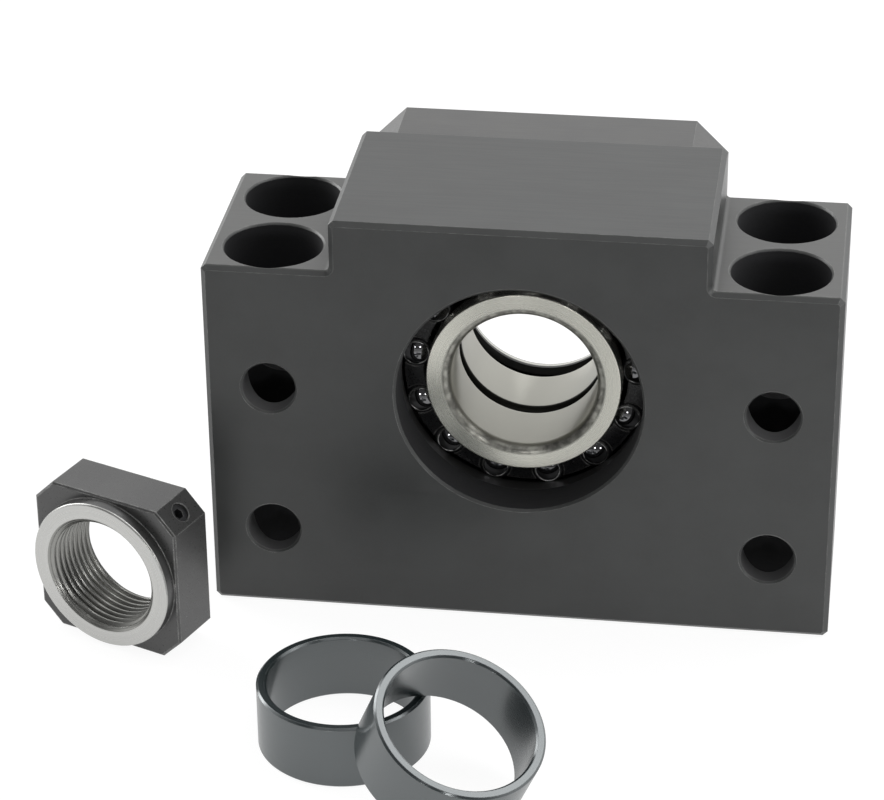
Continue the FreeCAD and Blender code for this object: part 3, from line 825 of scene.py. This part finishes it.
def turn_about_balls(name, centres, section, side):
    """Closed rings: section[angle, point] of (distance, station), turned about each ball.

    The axis of the turn leaves the ball's centre towards the open side and leans towards
    the shaft by the tilt. The turn begins in the direction away from the shaft.
    """
    angle = np.linspace(0.0, 2 * np.pi, len(section), endpoint=False)[None, :, None]
    along = np.array((0.0, side, 0.0))
    outward = (centres - np.array(shaft_centre)) * np.array((1.0, 0.0, 1.0))
    outward /= np.linalg.norm(outward, axis=1, keepdims=True)
    axis = math.cos(window_tilt) * along - math.sin(window_tilt) * outward
    lifted = math.cos(window_tilt) * outward + math.sin(window_tilt) * along
    way = np.cos(angle) * lifted[:, None] + np.sin(angle) * np.cross(axis, lifted)[:, None]
    points = (centres[:, None, None] + section[None, :, :, :1] * way[:, :, None]
              + section[None, :, :, 1:] * axis[:, None, None])
    here = np.arange(points[..., 0].size).reshape(points.shape[:3])
    beside = np.roll(here, -1, axis=1)
    quads = np.stack([here, np.roll(here, -1, axis=2), np.roll(beside, -1, axis=2), beside], axis=-1)
    mesh = bpy.data.meshes.new(name)
    mesh.from_pydata(points.reshape(-1, 3), [], quads.reshape(-1, 4))
    mesh.update()
    weld_and_face_outwards(mesh, 0.0000005)
    mesh.shade_smooth()
    piece = bpy.data.objects.new(name, mesh)
    bpy.context.scene.collection.objects.link(piece)
    return piece


def lip_section(ball_radius, pitch_radius, columns=56, trials=200):
    """Strip between two arcs round the ball's centre, as far apart as the lip is thick.

    It runs from the window outwards, and ends where a trial point on it would come
    closer to the shaft than the inner land or farther from it than the outer land.
    """
    inner = ball_radius + lip_gap
    outer = inner + lip_thickness
    start = math.asin(window_radius / ball_radius)
    trial = np.linspace(start, math.asin(lip_reach / ball_radius), trials)[None, :]
    angle = np.linspace(0.0, 2 * np.pi, columns, endpoint=False)[:, None]
    outward = (pitch_radius + outer * np.sin(trial) * np.cos(angle) * math.cos(window_tilt)
               - outer * np.cos(trial) * math.sin(window_tilt))
    from_shaft = np.hypot(outward, outer * np.sin(trial) * np.sin(angle))
    free = (from_shaft > land_radii[0]) & (from_shaft < land_radii[1])
    last = np.clip(np.cumprod(free, axis=1).sum(axis=1), 2, trials) - 1
    lean = start + (trial[0, last][:, None] - start) * np.linspace(0.0, 1.0, 7)
    reach = np.concatenate([outer * np.sin(lean), inner * np.sin(lean[:, ::-1])], axis=1)
    depth = np.concatenate([outer * np.cos(lean), inner * np.cos(lean[:, ::-1])], axis=1)
    return np.stack([reach, depth], axis=-1)


def bead_section(ball_radius, columns=56, corners=10):
    """Circle of the bead's radius that lies just off the ball, at the rim of the window."""
    angle = np.linspace(0.0, 2 * np.pi, corners, endpoint=False)
    away = ball_radius + bead_radius + bead_gap
    lean = math.asin(window_radius / away)
    reach = away * math.sin(lean) + bead_radius * np.cos(angle)
    depth = away * math.cos(lean) + bead_radius * np.sin(angle)
    return np.broadcast_to(np.stack([reach, depth], axis=-1), (columns, corners, 2))


def painted_highlight_rim():
    """Rim painted near white in patches along the arc as a painted highlight, and near black between."""
    material, tree, shader, place = new_material("pocket_rim_painted_highlight")
    oil = noise(tree, place, 500.0)
    # Where the noise is high, the rim is painted near white as a painted highlight.
    painted_glint = step_between(tree, oil, 0.42, 0.58)
    tone = blend_colours(tree, painted_glint, (0.06, 0.06, 0.06, 1), (0.95, 0.95, 0.94, 1))
    tree.links.new(tone, shader.inputs["Base Color"])
    tree.links.new(step_between(tree, oil, 0.3, 0.7, 0.14, 0.26), shader.inputs["Roughness"])
    shader.inputs["Metallic"].default_value = 0.4
    return material


window_radius = 0.0025
window_tilt = math.radians(4.2)
lip_reach = 0.0036
lip_gap = 0.00004
lip_thickness = 0.00005
bead_radius = 0.00007
bead_gap = 0.00002
land_radii = (0.02008, 0.02533)
rim_highlight_finish = painted_highlight_rim()
for row, side in (("near", -1.0), ("far", 1.0)):
    centres, ball_radius = ball_centres("ball_" + row + "_")
    from_shaft = centres - np.array(shaft_centre)
    pitch_radius = float(np.hypot(from_shaft[:, 0], from_shaft[:, 2]).mean())
    lip = lip_section(ball_radius, pitch_radius)
    lips = turn_about_balls("pocket_lips_" + row, centres, lip, side)
    beads = turn_about_balls("pocket_rims_" + row, centres, bead_section(ball_radius), side)
    for piece, finish in ((lips, cage_finish), (beads, rim_highlight_finish)):
        piece.data.materials.append(finish)
        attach(piece, row + "_cage")
    print(row, "row:", len(centres), "lips of", len(lips.data.polygons), "faces")

# %% [markdown]
# The picture has no visible floor or horizon: everything behind the part is white. A wide
# floor carries the soft shadows. For the camera, its colour is mostly a plain white and
# only partly the lit surface, so that the shadows stay but the floor joins the white of
# the world without a line. To a mirror it darkens towards the photographer, which keeps
# the polished front faces dark. Light itself stays at a plain level.

# %% Floor and background
def white_floor():
    """Lit surface mixed with plain white, by shares that depend on the kind of ray."""
    material = bpy.data.materials.new("white_floor")
    material.use_nodes = True
    tree = material.node_tree
    shader = tree.nodes["Principled BSDF"]
    shader.inputs["Base Color"].default_value = (0.86, 0.86, 0.86, 1)
    shader.inputs["Roughness"].default_value = 0.6
    shader.inputs["Specular IOR Level"].default_value = 0.2
    path = add_node(tree, "ShaderNodeLightPath").outputs
    share = arithmetic(tree, "ADD", arithmetic(tree, "MULTIPLY", path["Is Camera Ray"], 0.84),
                       arithmetic(tree, "MULTIPLY", path["Is Glossy Ray"], 0.7))
    place = add_node(tree, "ShaderNodeTexCoord").outputs["Object"]
    mirrored = step_between(tree, split(tree, place)[1], -0.24, -0.13, 0.3, 1.1)
    strength = blend_values(tree, path["Is Camera Ray"], mirrored, 1.1)
    white = add_node(tree, "ShaderNodeEmission", {"Color": (1, 1, 1, 1), "Strength": strength})
    mix = add_node(tree, "ShaderNodeMixShader", {0: share, 1: shader.outputs[0], 2: white.outputs[0]})
    tree.links.new(mix.outputs[0], tree.nodes["Material Output"].inputs["Surface"])
    material.cycles.emission_sampling = "NONE"
    return material


floor_reach = 4.0
floor_level = -0.00002
floor_corners = [(side * floor_reach, end * floor_reach, floor_level)
                 for side, end in ((-1, -1), (1, -1), (1, 1), (-1, 1))]
floor_mesh = bpy.data.meshes.new("floor")
floor_mesh.from_pydata(floor_corners, [], [(0, 1, 2, 3)])
floor_mesh.materials.append(white_floor())
floor = bpy.data.objects.new("floor", floor_mesh)
bpy.context.scene.collection.objects.link(floor)
print("floor", 2 * floor_reach, "m across")

# %% [markdown]
# Six soft lamps do the modelling: a large one overhead and behind, which the leaning
# collar's end face mirrors, one high in front for the chamfers, a lower one on each side
# for the edges, and two small ones in front, which make the bright dots on the balls.
# The rest comes from the world. A lamp's brightness as a mirror sees it is its power
# divided by its area and by pi, so the helper takes the brightness and works the power out.

# %% Lamps and world
def soft_lamp(name, place, aim, width, height, brightness):
    """Area lamp whose surface has the stated radiance, pointed at the aim."""
    data = bpy.data.lights.new(name, "AREA")
    data.shape = "RECTANGLE"
    data.size = width
    data.size_y = height
    data.energy = brightness * math.pi * width * height
    lamp = bpy.data.objects.new(name, data)
    direction = Vector(aim) - Vector(place)
    lamp.matrix_world = Matrix.Translation(place) @ direction.to_track_quat("-Z", "Y").to_matrix().to_4x4()
    bpy.context.scene.collection.objects.link(lamp)
    return lamp


part_middle = (0.0, 0.0, 0.04)
for name, place, width, height, brightness in (
        ("top_lamp", (0.30, 0.30, 0.95), 0.9, 0.6, 2.6),
        ("high_front_lamp", (0.0, -0.50, 0.95), 0.9, 0.4, 1.0),
        ("left_lamp", (-0.90, 0.45, 0.50), 0.5, 0.7, 4.6),
        ("right_lamp", (0.95, -0.25, 0.50), 0.5, 0.7, 2.4),
        ("front_lamp_left", (-0.16, -1.08, 0.20), 0.10, 0.10, 22.0),
        ("front_lamp_right", (0.36, -1.05, 0.20), 0.10, 0.10, 22.0)):
    soft_lamp(name, place, part_middle, width, height, brightness)


def studio_world():
    """A white room behind the part that darkens overhead and towards the photographer."""
    world = bpy.data.worlds.new("studio")
    world.use_nodes = True
    tree = world.node_tree
    path = add_node(tree, "ShaderNodeLightPath").outputs
    way = add_node(tree, "ShaderNodeTexCoord").outputs["Generated"]
    parts = split(tree, way)
    behind = step_between(tree, parts[1], -0.45, 0.25, 0.16, 1.15)
    overhead = step_between(tree, parts[2], 0.5, 0.9, 1.0, 0.6)
    room = arithmetic(tree, "MULTIPLY", behind, overhead)
    clear = arithmetic(tree, "MAXIMUM", path["Is Camera Ray"], path["Is Transmission Ray"])
    tree.links.new(blend_values(tree, clear, room, 1.0), tree.nodes["Background"].inputs["Strength"])
    tree.nodes["Background"].inputs["Color"].default_value = (1, 1, 1, 1)
    return world


bpy.context.scene.world = studio_world()
bpy.context.scene.view_settings.view_transform = "Standard"
